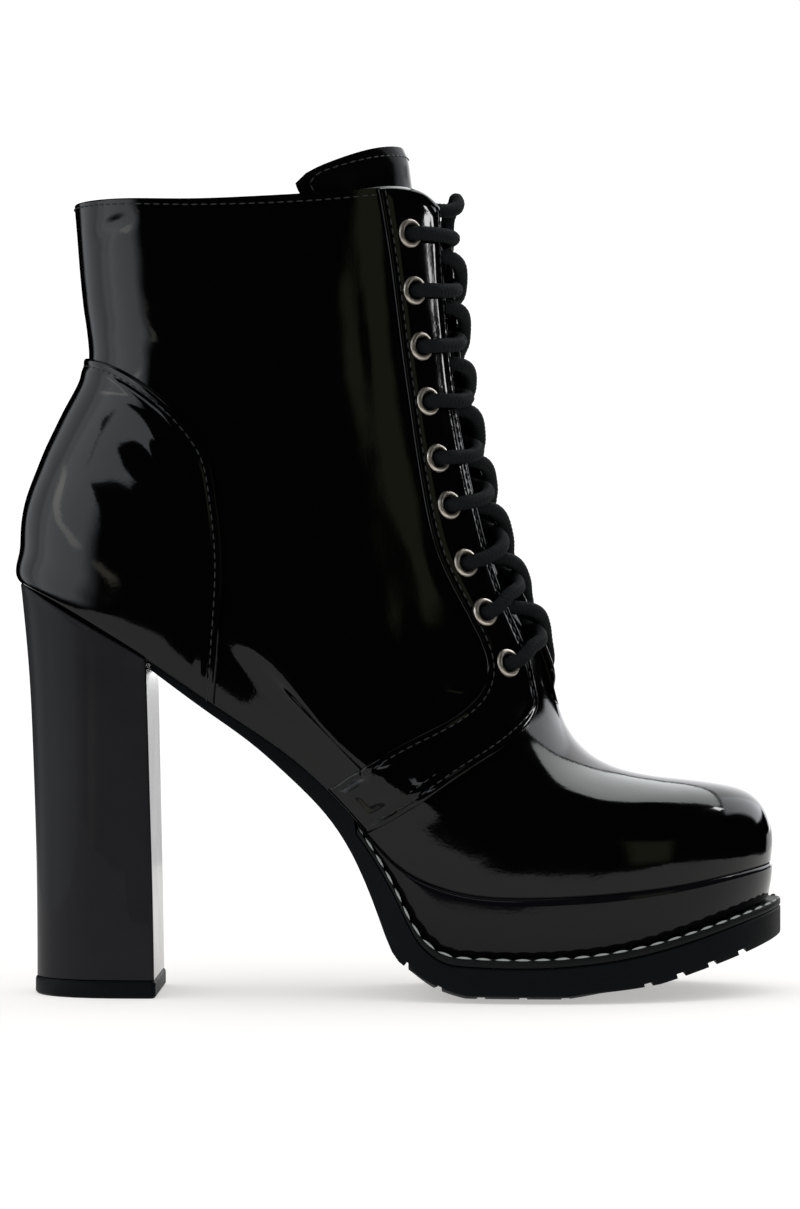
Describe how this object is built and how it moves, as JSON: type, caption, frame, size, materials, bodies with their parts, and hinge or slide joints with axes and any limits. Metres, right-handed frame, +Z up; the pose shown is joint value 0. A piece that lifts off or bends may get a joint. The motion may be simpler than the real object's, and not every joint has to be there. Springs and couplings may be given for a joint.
{
  "type": "lace up ankle boot",
  "caption": "Right lace up ankle boot in black patent leather, with a wrapped platform, a lugged rubber outsole, a tall block heel and a round lace through metal eyelets.",
  "frame": {"origin": "on the floor, at the middle of the boot's box in plan", "axes": "+X to the toe, +Y to the inner (medial) side of the foot, +Z up"},
  "size_m": [0.237, 0.0911, 0.261],
  "materials": {
    "black_patent": "black patent leather with a high gloss coat",
    "black_lining": "matte black lining",
    "black_rubber": "matte black rubber",
    "aged_nickel": "aged nickel",
    "waxed_cotton": "round braided lace in black waxed cotton"
  },
  "bodies": {
    "root": {"upper": "black_patent", "counter": "black_patent", "facing_lateral": "black_patent", "facing_medial": "black_patent", "tongue": "black_patent", "platform": "black_patent", "heel": "black_patent", "insole": "black_lining", "welt": "black_rubber", "outsole": "black_rubber", "heel_tip": "black_rubber", "eyelet_lateral_1": "aged_nickel", "eyelet_lateral_2": "aged_nickel", "eyelet_lateral_3": "aged_nickel", "eyelet_lateral_4": "aged_nickel", "eyelet_lateral_5": "aged_nickel", "eyelet_lateral_6": "aged_nickel", "eyelet_lateral_7": "aged_nickel", "eyelet_lateral_8": "aged_nickel", "eyelet_lateral_9": "aged_nickel", "eyelet_medial_1": "aged_nickel", "eyelet_medial_2": "aged_nickel", "eyelet_medial_3": "aged_nickel", "eyelet_medial_4": "aged_nickel", "eyelet_medial_5": "aged_nickel", "eyelet_medial_6": "aged_nickel", "eyelet_medial_7": "aged_nickel", "eyelet_medial_8": "aged_nickel", "eyelet_medial_9": "aged_nickel", "lace_crossing_1": "waxed_cotton", "lace_crossing_2": "waxed_cotton", "lace_crossing_3": "waxed_cotton", "lace_crossing_4": "waxed_cotton", "lace_crossing_5": "waxed_cotton", "lace_crossing_6": "waxed_cotton", "lace_crossing_7": "waxed_cotton", "lace_crossing_8": "waxed_cotton", "lace_crossing_9": "waxed_cotton"}
  },
  "joints": []
}
